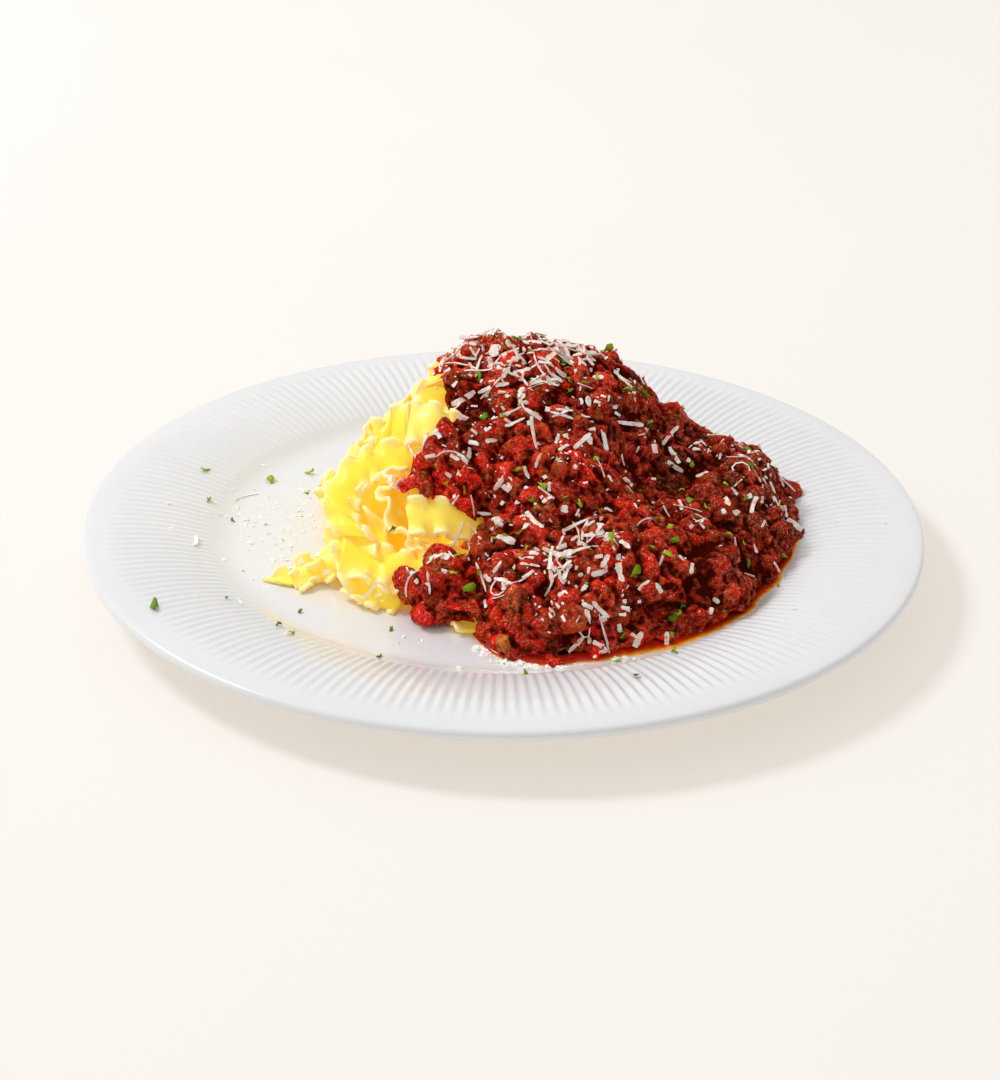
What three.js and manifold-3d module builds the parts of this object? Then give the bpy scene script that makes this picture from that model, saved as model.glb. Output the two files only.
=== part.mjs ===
// A plate of mafaldine bolognese: a wide-rimmed porcelain plate with a fluted rim, a heap of ruffled
// pasta ribbons in its well, and a thick meat sauce poured over most of the heap.
// Millimetres, +Z up. The origin is the centre of the foot ring's underside.
import * as THREE from "three";
import { mergeVertices } from "three/addons/utils/BufferGeometryUtils.js";
import Module from "manifold-3d";

const wasm = await Module();
wasm.setup();

// ---- Driving dimensions -------------------------------------------------------------------------

const GAP = 0.35; // clearance kept between touching pieces

// The plate, in radius and height. The fluted rim is a low dome that starts at the well's edge.
const PLATE_RADIUS = 150;
const FLOOR_HEIGHT = 10.3; // upper face of the well's floor
const FLOOR_RADIUS = 95; // flat part of the floor
const WELL_RADIUS = 107; // edge of the well, where the flutes begin
const WELL_EDGE_HEIGHT = 14.1;
const RIM_SLOPE = 0.327; // rise per millimetre at the well's edge
const RIM_CURVE = 0.00495; // how fast the dome flattens
const LIP_RADIUS = 2; // the rolled edge's section
const LIP_HEIGHT = 17.1; // centre of that section
const RIM_THICKNESS = 4.4;
const BASE_UNDERSIDE = 5.2; // height of the recess inside the foot ring
const FOOT_RADIUS = 93;
const FOOT_WIDTH = 4.5;
const FOOT_CHAMFER = 0.6;
const FOOT_FLARE = 3; // how far the foot spreads into the body, outside and inside

const FLUTES = 220;
const FLUTE_DEPTH = 0.5; // from crest to groove
const FLUTE_END = 139; // the flutes fade out before the smooth band at the lip
const FLUTE_FADE = 4;

const ROUND_SEGMENTS = 72;
const LIP_STEPS = 4;
const WELL_RINGS = [0, 0.5, 0.9]; // shares of the way from the floor to the well's edge
const FLUTE_RINGS = [0.08, 0.5, 1]; // shares of the way across the fluted band

// The heap. Each lobe is a rounded mound: where its centre is, how far it reaches along X and Y,
// how high it rises above the well's floor, and how blunt it is (a small number is a steep side).
const PASTA_LOBES = {
  crown: { at: [-6, 16], reach: [54, 58], rise: 57, blunt: 0.8 },
  leftShoulder: { at: [-34, -4], reach: [34, 42], rise: 41, blunt: 0.65 },
  nest: { at: [-46, -20], reach: [25, 30], rise: 31, blunt: 0.5 },
  frontFold: { at: [-38, -42], reach: [26, 18], rise: 17, blunt: 0.6 },
  leftTip: { at: [-62, -38], reach: [18, 14], rise: 5, blunt: 0.6 },
  flap: { at: [-17, -37], reach: [22, 23], rise: 29, blunt: 0.55 },
  underSauce: { at: [24, -30], reach: [56, 50], rise: 24, blunt: 0.7 },
  underRight: { at: [42, 16], reach: [44, 46], rise: 28, blunt: 0.8 },
};
const SAUCE_LOBES = {
  summit: { at: [2, 16], reach: [54, 54], rise: 65, blunt: 0.55 },
  summitRight: { at: [34, 20], reach: [33, 42], rise: 55, blunt: 0.6 },
  shoulder: { at: [56, 22], reach: [44, 44], rise: 32, blunt: 0.7 },
  rightKnob: { at: [86, 16], reach: [25, 38], rise: 26, blunt: 0.6 },
  right: { at: [74, -10], reach: [36, 44], rise: 25, blunt: 0.7 },
  belly: { at: [18, -22], reach: [42, 40], rise: 44, blunt: 0.8 },
  front: { at: [22, -54], reach: [50, 42], rise: 27, blunt: 0.7 },
  frontRight: { at: [58, -44], reach: [42, 40], rise: 24, blunt: 0.7 },
  clump: { at: [-19, -62], reach: [19, 16], rise: 21, blunt: 0.6 },
  leftTongue: { at: [-24, -23], reach: [21, 15], rise: 42, blunt: 0.5 },
};
const LOBE_BLEND = 5; // the higher, the sharper the valley between two lobes

// Outlines seen from above: each point is a place where the heap's foot lies on the plate or on the
// pasta, in turn round the heap's centre.
const PASTA_CENTRE = [0, 0];
const PASTA_OUTLINE = [
  [-78, -37], [-66, -53], [-50, -58], [-32, -62], [-14, -76], [10, -78], [48, -66], [78, -30],
  [84, 10], [64, 48], [24, 66], [-22, 62], [-52, 38], [-66, 10], [-68, -18],
];
const SAUCE_CENTRE = [26, -8];
const SAUCE_OUTLINE = [
  [-33, -68], [-24, -76], [-8, -82], [6, -94], [28, -96], [56, -87], [80, -69], [97, -42],
  [107, -8], [106, 24], [92, 50], [62, 68], [22, 72], [-10, 60], [-25, 38], [-24, 14],
  [-21, -3], [-21, -11], [-36, -23], [-39, -34], [-30, -52],
];

const PASTA_FOLD = 2.6; // height of the ribbons' folds on the pasta heap
const PASTA_FOLD_PITCH = 14; // from one fold to the next
const PASTA_NEST = [-30, -6]; // the folds run round this point
const SAUCE_LUMP = 2.4; // height of the mince lumps
const SAUCE_LUMP_PITCH = 15;
const EDGE_THICKNESS = 0.9; // of a heap where it ends
const SHOULDER = 8; // how roundly a heap rises from its edge: higher is squarer

// How finely the heaps are faceted.
const PASTA_SEGMENTS = 64;
const PASTA_STEPS = 15;
const SAUCE_SEGMENTS = 80;
const SAUCE_STEPS = 16;
const UNDERSIDE_RINGS = [0.999, 0.93, 0.6];

// ---- Small tools --------------------------------------------------------------------------------

const TURN = 2 * Math.PI;

function smoothStep(low, high, value) {
  const t = Math.min(1, Math.max(0, (value - low) / (high - low)));
  return t * t * (3 - 2 * t);
}

// A BufferGeometry from points and triangles.
function geometryOf(points, triangles) {
  const geometry = new THREE.BufferGeometry();
  geometry.setAttribute("position", new THREE.Float32BufferAttribute(points.flat(), 3));
  geometry.setIndex(triangles.flat());
  geometry.computeVertexNormals();
  return geometry;
}

// Joins two rings of point numbers, each going anticlockwise from above, by a band of triangles.
// The rings may differ in count. The band faces up when the first ring is the inner one.
function bandBetween(inner, outer) {
  const triangles = [];
  let i = 0;
  let j = 0;
  while (i < inner.length || j < outer.length) {
    const nextInner = (i + 1) / inner.length;
    const nextOuter = (j + 1) / outer.length;
    const a = inner[i % inner.length];
    const b = outer[j % outer.length];
    if (j >= outer.length || (i < inner.length && nextInner <= nextOuter)) {
      triangles.push([a, b, inner[(i + 1) % inner.length]]);
      i += 1;
    } else {
      triangles.push([a, b, outer[(j + 1) % outer.length]]);
      j += 1;
    }
  }
  return triangles;
}

// A closed solid from rings of points, from the middle of its top out and round to the middle of its
// underside. The first and the last ring are single points.
function solidOfRings(rings) {
  const points = [];
  const numbered = rings.map((ring) => ring.map((point) => points.push(point) - 1));
  const triangles = [];
  for (let k = 0; k + 1 < numbered.length; k += 1) {
    const from = numbered[k];
    const to = numbered[k + 1];
    if (from.length === 1) {
      to.forEach((p, n) => triangles.push([from[0], p, to[(n + 1) % to.length]]));
    } else if (to.length === 1) {
      from.forEach((p, n) => triangles.push([p, to[0], from[(n + 1) % from.length]]));
    } else {
      triangles.push(...bandBetween(from, to));
    }
  }
  return geometryOf(points, triangles);
}

// ---- Plate --------------------------------------------------------------------------------------

// Height of the plate's upper face, without flutes, at a distance from the axis.
function plateTop(radius) {
  if (radius <= FLOOR_RADIUS) return FLOOR_HEIGHT;
  if (radius <= WELL_RADIUS) {
    const t = (radius - FLOOR_RADIUS) / (WELL_RADIUS - FLOOR_RADIUS);
    return FLOOR_HEIGHT + (WELL_EDGE_HEIGHT - FLOOR_HEIGHT) * t * t;
  }
  const out = radius - WELL_RADIUS;
  return WELL_EDGE_HEIGHT + RIM_SLOPE * out - RIM_CURVE * out * out;
}

function circle(radius, height, segments = ROUND_SEGMENTS) {
  return Array.from({ length: segments }, (_, n) => {
    const angle = (TURN * n) / segments;
    return [radius * Math.cos(angle), radius * Math.sin(angle), height];
  });
}

// A ring of the fluted band: every other point is a crest, the ones between are grooves.
function flutedCircle(radius) {
  const fade = 1 - smoothStep(FLUTE_END - FLUTE_FADE, FLUTE_END + FLUTE_FADE, radius);
  const ring = circle(radius, plateTop(radius), 2 * FLUTES);
  return ring.map(([x, y, z], n) => [x, y, z - (n % 2) * FLUTE_DEPTH * fade]);
}

// The upper face, ring by ring, from the middle to the start of the rolled edge.
function plateUpperRings() {
  const rings = [[[0, 0, FLOOR_HEIGHT]]];
  for (const share of WELL_RINGS) {
    const radius = FLOOR_RADIUS + (WELL_RADIUS - FLOOR_RADIUS) * share;
    rings.push(circle(radius, plateTop(radius)));
  }
  for (const share of FLUTE_RINGS) {
    rings.push(flutedCircle(WELL_RADIUS + (FLUTE_END - WELL_RADIUS) * share));
  }
  const smoothBand = (FLUTE_END + PLATE_RADIUS - LIP_RADIUS) / 2;
  rings.push(circle(smoothBand, plateTop(smoothBand)));
  return rings;
}

// The rolled edge: half a round section, from its top to its underside.
function lipRings() {
  return Array.from({ length: LIP_STEPS + 1 }, (_, n) => {
    const angle = Math.PI * (0.5 - n / LIP_STEPS);
    const radius = PLATE_RADIUS - LIP_RADIUS + LIP_RADIUS * Math.cos(angle);
    return circle(radius, LIP_HEIGHT + LIP_RADIUS * Math.sin(angle));
  });
}

// The underside of the rim, then the foot ring, then the recess inside it.
function plateLowerRings() {
  const footInner = FOOT_RADIUS - FOOT_WIDTH;
  const underRim = (WELL_RADIUS + PLATE_RADIUS) / 2;
  return [
    circle(underRim, plateTop(underRim) - RIM_THICKNESS),
    circle(WELL_RADIUS, plateTop(WELL_RADIUS) - RIM_THICKNESS),
    circle(FOOT_RADIUS + FOOT_FLARE, BASE_UNDERSIDE - FOOT_CHAMFER),
    circle(FOOT_RADIUS, FOOT_CHAMFER),
    circle(FOOT_RADIUS - FOOT_CHAMFER, 0),
    circle(footInner + FOOT_CHAMFER, 0),
    circle(footInner, FOOT_CHAMFER),
    circle(footInner - FOOT_FLARE, BASE_UNDERSIDE),
    [[0, 0, BASE_UNDERSIDE]],
  ];
}

function plateGeometry() {
  return solidOfRings([...plateUpperRings(), ...lipRings(), ...plateLowerRings()]);
}

// ---- Heap ---------------------------------------------------------------------------------------

// Height above the well's floor of a set of lobes, blended so that valleys stay between them.
function lobesHeight(lobes, x, y) {
  let sum = 0;
  for (const { at, reach, rise, blunt } of Object.values(lobes)) {
    const inside = 1 - ((x - at[0]) / reach[0]) ** 2 - ((y - at[1]) / reach[1]) ** 2;
    if (inside > 0) sum += (rise * inside ** blunt) ** LOBE_BLEND;
  }
  return sum ** (1 / LOBE_BLEND);
}

// Smooth, repeatable unevenness between -1 and 1: a few waves in different directions.
function unevenness(x, y, pitch) {
  const k = TURN / pitch;
  const a = Math.sin(k * (0.94 * x + 0.34 * y) + 1.7 * Math.sin((k / 2.3) * y));
  const b = Math.sin(k * (-0.42 * x + 0.91 * y) + 1.5 * Math.sin((k / 2.7) * x + 1));
  const c = Math.sin(k * 0.71 * (x - y) + 2 + Math.sin((k / 1.9) * (x + y)));
  return (a + b + c) / 3;
}

function pastaTop(x, y) {
  const [nestX, nestY] = PASTA_NEST;
  const away = Math.hypot(x - nestX, y - nestY);
  const around = Math.atan2(y - nestY, x - nestX);
  const fold = Math.sin((TURN * away) / PASTA_FOLD_PITCH + 1.3 * Math.sin(3 * around));
  return FLOOR_HEIGHT + lobesHeight(PASTA_LOBES, x, y) + PASTA_FOLD * fold;
}

function sauceTop(x, y) {
  const heap = FLOOR_HEIGHT + lobesHeight(SAUCE_LOBES, x, y);
  return heap + SAUCE_LUMP * unevenness(x, y, SAUCE_LUMP_PITCH);
}

// The distance from a centre to its outline, for any bearing, smooth all the way round.
function reachOf(centre, outline) {
  const stops = outline
    .map(([x, y]) => [Math.atan2(y - centre[1], x - centre[0]), Math.hypot(x - centre[0], y - centre[1])])
    .sort((a, b) => a[0] - b[0]);
  const stop = (n) => {
    const laps = Math.floor(n / stops.length);
    const [bearing, reach] = stops[n - laps * stops.length];
    return [bearing + laps * TURN, reach];
  };
  const slope = (n) => {
    const [before, after] = [stop(n - 1), stop(n + 1)];
    return (after[1] - before[1]) / (after[0] - before[0]);
  };
  return (bearing) => {
    let n = -1;
    while (stop(n + 1)[0] <= bearing) n += 1;
    const [from, to] = [stop(n), stop(n + 1)];
    const span = to[0] - from[0];
    const t = (bearing - from[0]) / span;
    return from[1] * (1 - t) ** 2 * (1 + 2 * t) + to[1] * t ** 2 * (3 - 2 * t)
      + span * t * (1 - t) * (slope(n) * (1 - t) - slope(n + 1) * t);
  };
}

// A heap over its outline: its footprint, its top, and what its edge lies on. At the outline the heap
// is edge thick, and inside it rises to top(x, y) as roundly as the shoulder says.
class Heap {
  constructor({ centre, outline, top, support }) {
    this.centre = centre;
    this.reach = reachOf(centre, outline);
    this.top = top;
    this.support = support;
  }

  place(bearing, share) {
    const reach = this.reach(bearing) * share;
    return [this.centre[0] + reach * Math.cos(bearing), this.centre[1] + reach * Math.sin(bearing)];
  }

  // 0 at the centre, 1 at the outline, more outside.
  share(x, y) {
    const [dx, dy] = [x - this.centre[0], y - this.centre[1]];
    return Math.hypot(dx, dy) / this.reach(Math.atan2(dy, dx));
  }

  height(x, y) {
    const share = this.share(x, y);
    if (share > 1.001) return 0;
    const low = this.support(x, y) + EDGE_THICKNESS;
    const rise = Math.sqrt(Math.max(0, 1 - share ** SHOULDER));
    return low + Math.max(0, this.top(x, y) - low) * rise;
  }

  // The heap as a solid: rings of facets, with as many segments as asked at the outline.
  geometry(segments, steps) {
    const ring = (share, height) => {
      const count = Math.max(6, Math.round(segments * Math.min(1, share)));
      return Array.from({ length: count }, (_, n) => {
        const [x, y] = this.place((TURN * n) / count - Math.PI, share);
        return [x, y, height(x, y)];
      });
    };
    const upper = (x, y) => this.height(x, y);
    const under = (x, y) => plateTop(Math.hypot(x, y)) + GAP;
    const rings = [[[...this.centre, upper(...this.centre)]]];
    for (let n = 1; n <= steps; n += 1) {
      rings.push(ring(Math.sin((Math.PI / 2) * (n / steps)), upper));
    }
    for (const share of UNDERSIDE_RINGS) rings.push(ring(share, under));
    rings.push([[...this.centre, under(...this.centre)]]);
    return solidOfRings(rings);
  }
}

const pastaHeap = new Heap({
  centre: PASTA_CENTRE,
  outline: PASTA_OUTLINE,
  top: pastaTop,
  support: (x, y) => plateTop(Math.hypot(x, y)) + GAP,
});

// The sauce's edge lies on the plate or on the pasta, where it doesn't run in under the pasta.
const sauceHeap = new Heap({
  centre: SAUCE_CENTRE,
  outline: SAUCE_OUTLINE,
  top: sauceTop,
  support: (x, y) => Math.max(
    plateTop(Math.hypot(x, y)) + GAP, Math.min(pastaHeap.height(x, y), sauceTop(x, y))),
});

// ---- Solids of manifold-3d ----------------------------------------------------------------------

function manifoldOf(geometry) {
  const bare = new THREE.BufferGeometry();
  bare.setAttribute("position", geometry.getAttribute("position"));
  bare.setIndex(geometry.getIndex());
  const merged = mergeVertices(bare, 1e-4);
  return new wasm.Manifold(new wasm.Mesh({
    numProp: 3,
    vertProperties: new Float32Array(merged.getAttribute("position").array),
    triVerts: new Uint32Array(merged.getIndex().array),
  }));
}

function geometryOfManifold(solid) {
  const mesh = solid.getMesh();
  const geometry = new THREE.BufferGeometry();
  geometry.setAttribute("position", new THREE.BufferAttribute(mesh.vertProperties, 3));
  geometry.setIndex(new THREE.BufferAttribute(mesh.triVerts, 1));
  geometry.computeVertexNormals();
  return geometry;
}

// The same shape, grown by a distance along its own normals.
function grown(geometry, distance) {
  const copy = geometry.clone();
  const position = copy.getAttribute("position");
  const normal = copy.getAttribute("normal");
  for (let n = 0; n < position.count; n += 1) {
    position.setXYZ(n,
      position.getX(n) + distance * normal.getX(n),
      position.getY(n) + distance * normal.getY(n),
      position.getZ(n) + distance * normal.getZ(n));
  }
  return copy;
}

// ---- Pieces -------------------------------------------------------------------------------------

const pastaGeometry = pastaHeap.geometry(PASTA_SEGMENTS, PASTA_STEPS);

function sauceGeometry() {
  const lump = sauceHeap.geometry(SAUCE_SEGMENTS, SAUCE_STEPS);
  return geometryOfManifold(manifoldOf(lump).subtract(manifoldOf(grown(pastaGeometry, GAP))));
}

function piece(name, geometry, color, roughness) {
  const material = new THREE.MeshStandardMaterial({ color, roughness, metalness: 0 });
  const mesh = new THREE.Mesh(geometry, material);
  mesh.name = name;
  return mesh;
}

const dish = new THREE.Group();
dish.add(
  piece("plate", plateGeometry(), 0xf1f2f4, 0.2),
  piece("mafaldine", pastaGeometry, 0xf7d54a, 0.4),
  piece("bolognese", sauceGeometry(), 0x8c1f10, 0.3),
);

export default dish;
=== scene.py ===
"""Mafaldine bolognese on a wide-rimmed porcelain plate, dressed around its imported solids.

Lengths are in millimetres up to the moment a mesh is made, and the row's axes are used throughout:
+Z up, -Y towards the diner, and the origin at the centre of the plate's foot ring.
"""

import math

import bmesh
import bpy
import numpy as np
from mathutils import Matrix, Vector
from mathutils.bvhtree import BVHTree
from mathutils.kdtree import KDTree


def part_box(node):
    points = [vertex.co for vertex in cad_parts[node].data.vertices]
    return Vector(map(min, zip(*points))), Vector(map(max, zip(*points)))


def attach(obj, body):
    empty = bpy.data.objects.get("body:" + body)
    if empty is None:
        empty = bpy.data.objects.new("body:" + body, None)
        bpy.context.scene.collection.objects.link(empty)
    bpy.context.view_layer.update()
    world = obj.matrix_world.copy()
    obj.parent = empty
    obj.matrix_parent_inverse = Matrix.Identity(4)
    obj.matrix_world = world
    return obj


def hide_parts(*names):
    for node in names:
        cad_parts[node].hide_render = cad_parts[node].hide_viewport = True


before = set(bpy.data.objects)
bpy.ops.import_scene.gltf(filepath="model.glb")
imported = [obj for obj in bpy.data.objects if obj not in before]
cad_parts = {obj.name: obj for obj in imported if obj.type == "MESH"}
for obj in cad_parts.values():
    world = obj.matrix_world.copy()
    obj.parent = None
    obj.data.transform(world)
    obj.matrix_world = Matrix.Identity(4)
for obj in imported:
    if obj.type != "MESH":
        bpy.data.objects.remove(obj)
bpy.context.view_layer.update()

MM = 0.001
TURN = 2 * math.pi

# ---- Plate, camera and studio ----

# The plate: its section is the solid's, with rounder flutes and a rounder lip.
PLATE_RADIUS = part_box("plate")[1].x / MM
FLOOR_HEIGHT = 10.3
FLOOR_RADIUS = 95
WELL_RADIUS = 107
WELL_EDGE_HEIGHT = 14.1
RIM_SLOPE = 0.327
RIM_CURVE = 0.00495
RIM_THICKNESS = 4.4
LIP_RADIUS = 2
LIP_HEIGHT = 17.1
BASE_UNDERSIDE = 5.2
FOOT_RADIUS = 93
FOOT_WIDTH = 4.5
FOOT_EDGE = 0.7  # its bevel
UNDERSIDE_RADII = (142, 134, 126, 118, 110, 106)  # where the rim's underside follows its upper face
UNDERSIDE_BEND = ((101, 7.6), (97, 5.2), (94, 2.2))  # radii and heights from there to the foot ring
FOOT_FILLET = (1.4, 3.4)  # how far inside the foot ring, and how high, its inner flank passes
PLATE_HOLE = 0.5  # the innermost ring of points, closed by a flat cap
FLUTES = 220
FLUTE_DEPTH = 0.55
FLUTE_POINTS = 6  # points round one flute
FLUTE_START = 104
FLUTE_END = 139
FLUTE_FADE = 5

# The camera stands where the photographer's eye was: above the diner's edge of the plate.
CAMERA_TARGET = (-1.2, -25.0, 19.0)
CAMERA_DISTANCE = 750
CAMERA_ELEVATION = 27.49
CAMERA_ROLL = 0.733
CAMERA_LENS = 71.39
SENSOR = 36  # along the picture's longer side

# The studio: a wide floor, a sky that is brightest at the upper left, and a round lamp there.
FLOOR_CORNERS = [(-4000, -3000, 0), (4000, -3000, 0), (4000, 6000, 0), (-4000, 6000, 0)]
LAMP_PLACE = Vector((-1500, 600, 1800))
LAMP_TARGET = Vector((0, 0, 30))
LAMP_SIZE = 600
LAMP_WATTS = 26
SKY_COLOR = (1.0, 0.99, 0.975, 1)
SKY_TOWARDS = Vector((-0.35, 0.45, 0.82))
SKY_STRENGTHS = (0.30, 0.84)  # opposite that direction, and along it

# ---- Meshes ----


def new_object(name, data):
    """An object of the scene."""
    thing = bpy.data.objects.new(name, data)
    bpy.context.scene.collection.objects.link(thing)
    return thing


def mesh_object(name, points, faces):
    """A smooth-shaded object of the given points, in millimetres, and faces."""
    mesh = bpy.data.meshes.new(name)
    mesh.from_pydata((np.asarray(points, float) * MM).tolist(), [], [tuple(f) for f in faces])
    mesh.update()
    mesh.shade_smooth()
    return new_object(name, mesh)


def rows(parts, name, width, kind=float):
    """One property of all of a mesh's vertices, edges or triangles."""
    values = np.empty(len(parts) * width, kind)
    parts.foreach_get(name, values)
    return values.reshape(-1, width)


def points_of(mesh):
    """A mesh's vertices in millimetres."""
    return rows(mesh.vertices, "co", 3) / MM


def normals_of(mesh):
    """The normals at a mesh's vertices."""
    return rows(mesh.vertex_normals, "vector", 3)


def move_points(mesh, points):
    """Moves a mesh's vertices to points in millimetres."""
    mesh.vertices.foreach_set("co", (points * MM).ravel())
    mesh.update()


def modified(piece, kind, **settings):
    """Gives the piece the mesh that a modifier makes of its own."""
    modifier = piece.modifiers.new("change", kind)
    for name, value in settings.items():
        setattr(modifier, name, value)
    mesh = bpy.data.meshes.new_from_object(piece.evaluated_get(bpy.context.evaluated_depsgraph_get()))
    piece.modifiers.clear()
    piece.data = mesh
    mesh.shade_smooth()


def remeshed(piece, voxel):
    """Turns the piece into one closed skin round all that its mesh holds."""
    modified(piece, "REMESH", mode="VOXEL", voxel_size=voxel * MM)


def thinned(piece, triangles):
    """Merges the piece's flattest faces until about so many triangles are left."""
    piece.data.calc_loop_triangles()
    modified(piece, "DECIMATE", ratio=triangles / len(piece.data.loop_triangles))


def paint(mesh, name, values):
    """Stores up to three numbers for each vertex, as the red, green and blue of a colour attribute."""
    values = np.atleast_2d(np.asarray(values, float).T).T
    colors = np.ones((len(mesh.vertices), 4), np.float32)
    colors[:, : values.shape[1]] = values
    layer = mesh.color_attributes.new(name, "FLOAT_COLOR", "POINT")
    layer.data.foreach_set("color", colors.ravel())


def tube_faces(rings, count):
    """Faces of a closed tube of rings of count points each, with capped ends."""
    steps = np.arange(count)
    faces = []
    for k in range(rings - 1):
        a, b = k * count + steps, k * count + (steps + 1) % count
        faces.extend(np.stack([a, a + count, b + count, b], 1).tolist())
    faces.append(steps.tolist())
    faces.append(((rings - 1) * count + steps[::-1]).tolist())
    return faces


def ring(radius, angles, heights):
    """Points round a circle, with one height for all of them or one for each."""
    return np.stack([radius * np.cos(angles), radius * np.sin(angles), heights + 0 * angles], 1)


def dress(piece, node, material):
    """Makes a finished piece part of the object."""
    piece.data.materials.append(material)
    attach(piece, "root")
    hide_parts(node)


class MeshParts:
    """Collects many small meshes that become one piece."""

    def __init__(self):
        self.points = []
        self.faces = []
        self.values = []
        self.count = 0

    def add(self, points, faces, values=(0, 0, 0)):
        """Adds a mesh, and the values to paint it with: one set for all its points, or a set for each."""
        points = np.asarray(points, float)
        self.points.append(points)
        self.faces.extend([tuple(i + self.count for i in face) for face in faces])
        self.values.append(np.tile(values, (len(points), 1)) if np.ndim(values) < 2 else values)
        self.count += len(points)

    def piece(self, name, layer=None):
        """One object of all the meshes, painted with their values if a layer is named."""
        result = mesh_object(name, np.concatenate(self.points), self.faces)
        if layer:
            paint(result.data, layer, np.concatenate(self.values))
        return result


# ---- Noise ----


def cell_random(cells, seed):
    """A repeatable number from 0 to 1 for each whole-number cell."""
    n = cells[..., 0] * 73856093 ^ cells[..., 1] * 19349663 ^ cells[..., 2] * 83492791 ^ seed * 668265263
    n = (n ^ (n >> 15)) * 2246822519 & 0xFFFFFFFF
    n = (n ^ (n >> 13)) * 3266489917 & 0xFFFFFFFF
    return (n ^ (n >> 16)) / 0xFFFFFFFF


def soft_noise(points, pitch, seed):
    """Smooth noise from -1 to 1, with one swell or so to each pitch."""
    scaled = points / pitch
    low = np.floor(scaled).astype(np.int64)
    t = scaled - low
    t = t * t * (3 - 2 * t)
    total = np.zeros(len(points))
    for corner in np.ndindex(2, 2, 2):
        weight = np.prod(np.where(corner, t, 1 - t), axis=1)
        total += weight * cell_random(low + corner, seed)
    return total * 2 - 1


def grain_noise(points, pitch, seed):
    """1 at the middle of each grain of a packed bed of grains, falling to about 0 between them."""
    scaled = points / pitch
    low = np.floor(scaled).astype(np.int64)
    nearest = np.full(len(points), 9.0)
    for corner in np.ndindex(3, 3, 3):
        cell = low + np.array(corner) - 1
        centre = cell + np.stack([cell_random(cell, seed + k) for k in range(3)], 1)
        nearest = np.minimum(nearest, ((scaled - centre) ** 2).sum(1))
    return 1 - np.sqrt(nearest) / 0.8


def smooth_step(low, high, value):
    """A soft rise from 0 at low to 1 at high, level beyond both. Low may be the greater of the two."""
    t = np.clip((value - low) / (high - low), 0, 1)
    return t * t * (3 - 2 * t)


def unit(vectors):
    """The vectors, made 1 long."""
    return vectors / np.maximum(np.linalg.norm(vectors, axis=-1, keepdims=True), 1e-9)


# ---- Surfaces that things lie on ----


class Surface:
    """One mesh or several in millimetres, to cast rays at and scatter things over."""

    def __init__(self, *meshes):
        points, triangles, count = [], [], 0
        for mesh in meshes:
            mesh.calc_loop_triangles()
            points.append(points_of(mesh))
            triangles.append(rows(mesh.loop_triangles, "vertices", 3, np.int32) + count)
            count += len(mesh.vertices)
        self.points, self.triangles = np.concatenate(points), np.concatenate(triangles)
        self.tree = BVHTree.FromPolygons(self.points.tolist(), self.triangles.tolist())

    def hit(self, origin, direction, reach=200):
        """The first point met along the direction and the normal there, or None twice."""
        place, normal, _, _ = self.tree.ray_cast(Vector(origin), Vector(direction), reach)
        return (None, None) if place is None else (np.array(place), np.array(normal))

    def nearest(self, point):
        """The point of the surface that lies nearest, and the normal there."""
        place, normal, _, _ = self.tree.find_nearest(Vector(point))
        return np.array(place), np.array(normal)

    def scatter(self, rng, count, keep):
        """Random points and the normals there. keep tells how densely each face is covered."""
        a, b, c = (self.points[self.triangles[:, k]] for k in range(3))
        cross = np.cross(b - a, c - a)
        area = np.linalg.norm(cross, axis=1)
        normals = cross / np.maximum(area, 1e-12)[:, None]
        area = area * keep((a + b + c) / 3, normals)
        chosen = rng.choice(len(area), count, p=area / area.sum())
        u, v = rng.random((2, count, 1))
        flip = u + v > 1
        u, v = np.where(flip, 1 - u, u), np.where(flip, 1 - v, v)
        places = a[chosen] + u * (b[chosen] - a[chosen]) + v * (c[chosen] - a[chosen])
        return places, normals[chosen]

    def remade(self, name, voxel):
        """An object of the same form with evenly spread faces."""
        piece = mesh_object(name, self.points, self.triangles.tolist())
        remeshed(piece, voxel)
        return piece


def packed(node):
    """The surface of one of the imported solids."""
    return Surface(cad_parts[node].data)


# ---- Materials ----

# What is painted over the sauce's own colours: fat, which also serves as painted highlight specks, and
# painted shade.
FAT_AND_HIGHLIGHT = (1.0, 0.36, 0.16)
SEAM_SHADE = (0.10, 0.004, 0.001)  # painted shade between grains
SHADE_PATCHES = (0.15, 0.010, 0.002)  # painted shade in wide patches
# painted shade deep in the hollows
HOLLOW_SHADE = (0.030, 0.0025, 0.001)


def new_material(name, **sockets):
    """A material whose Principled shader has the given values. Returns it, its tree and the shader."""
    material = bpy.data.materials.new(name)
    material.use_nodes = True
    tree = material.node_tree
    shader = tree.nodes["Principled BSDF"]
    for socket, value in sockets.items():
        shader.inputs[socket.replace("_", " ")].default_value = value
    return material, tree, shader


def add_node(tree, kind, values=None, **settings):
    """A node with its properties set, and the inputs that values names set or linked."""
    node = tree.nodes.new(kind)
    for name, value in settings.items():
        setattr(node, name, value)
    for key, value in (values or {}).items():
        if isinstance(value, bpy.types.NodeSocket):
            tree.links.new(value, node.inputs[key])
        else:
            node.inputs[key].default_value = value
    return node


def noise_at(tree, pitch, detail=2.0, roughness=0.5):
    """Noise from 0 to 1 with about one swell to each pitch, in millimetres."""
    place = add_node(tree, "ShaderNodeTexCoord").outputs["Object"]
    values = {"Vector": place, "Scale": 1 / (pitch * MM), "Detail": detail, "Roughness": roughness}
    return add_node(tree, "ShaderNodeTexNoise", values).outputs["Fac"]


def ramp(fac, *stops):
    """A colour or grey ramp. Each stop is a place and a colour, or a place and a grey."""
    node = add_node(fac.id_data, "ShaderNodeValToRGB", {"Fac": fac})
    elements = node.color_ramp.elements
    while len(elements) < len(stops):
        elements.new(0.5)
    for element, (place, color) in zip(elements, stops):
        element.position = place
        element.color = (*color, 1) if np.ndim(color) else (color, color, color, 1)
    return node.outputs["Color"]


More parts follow.
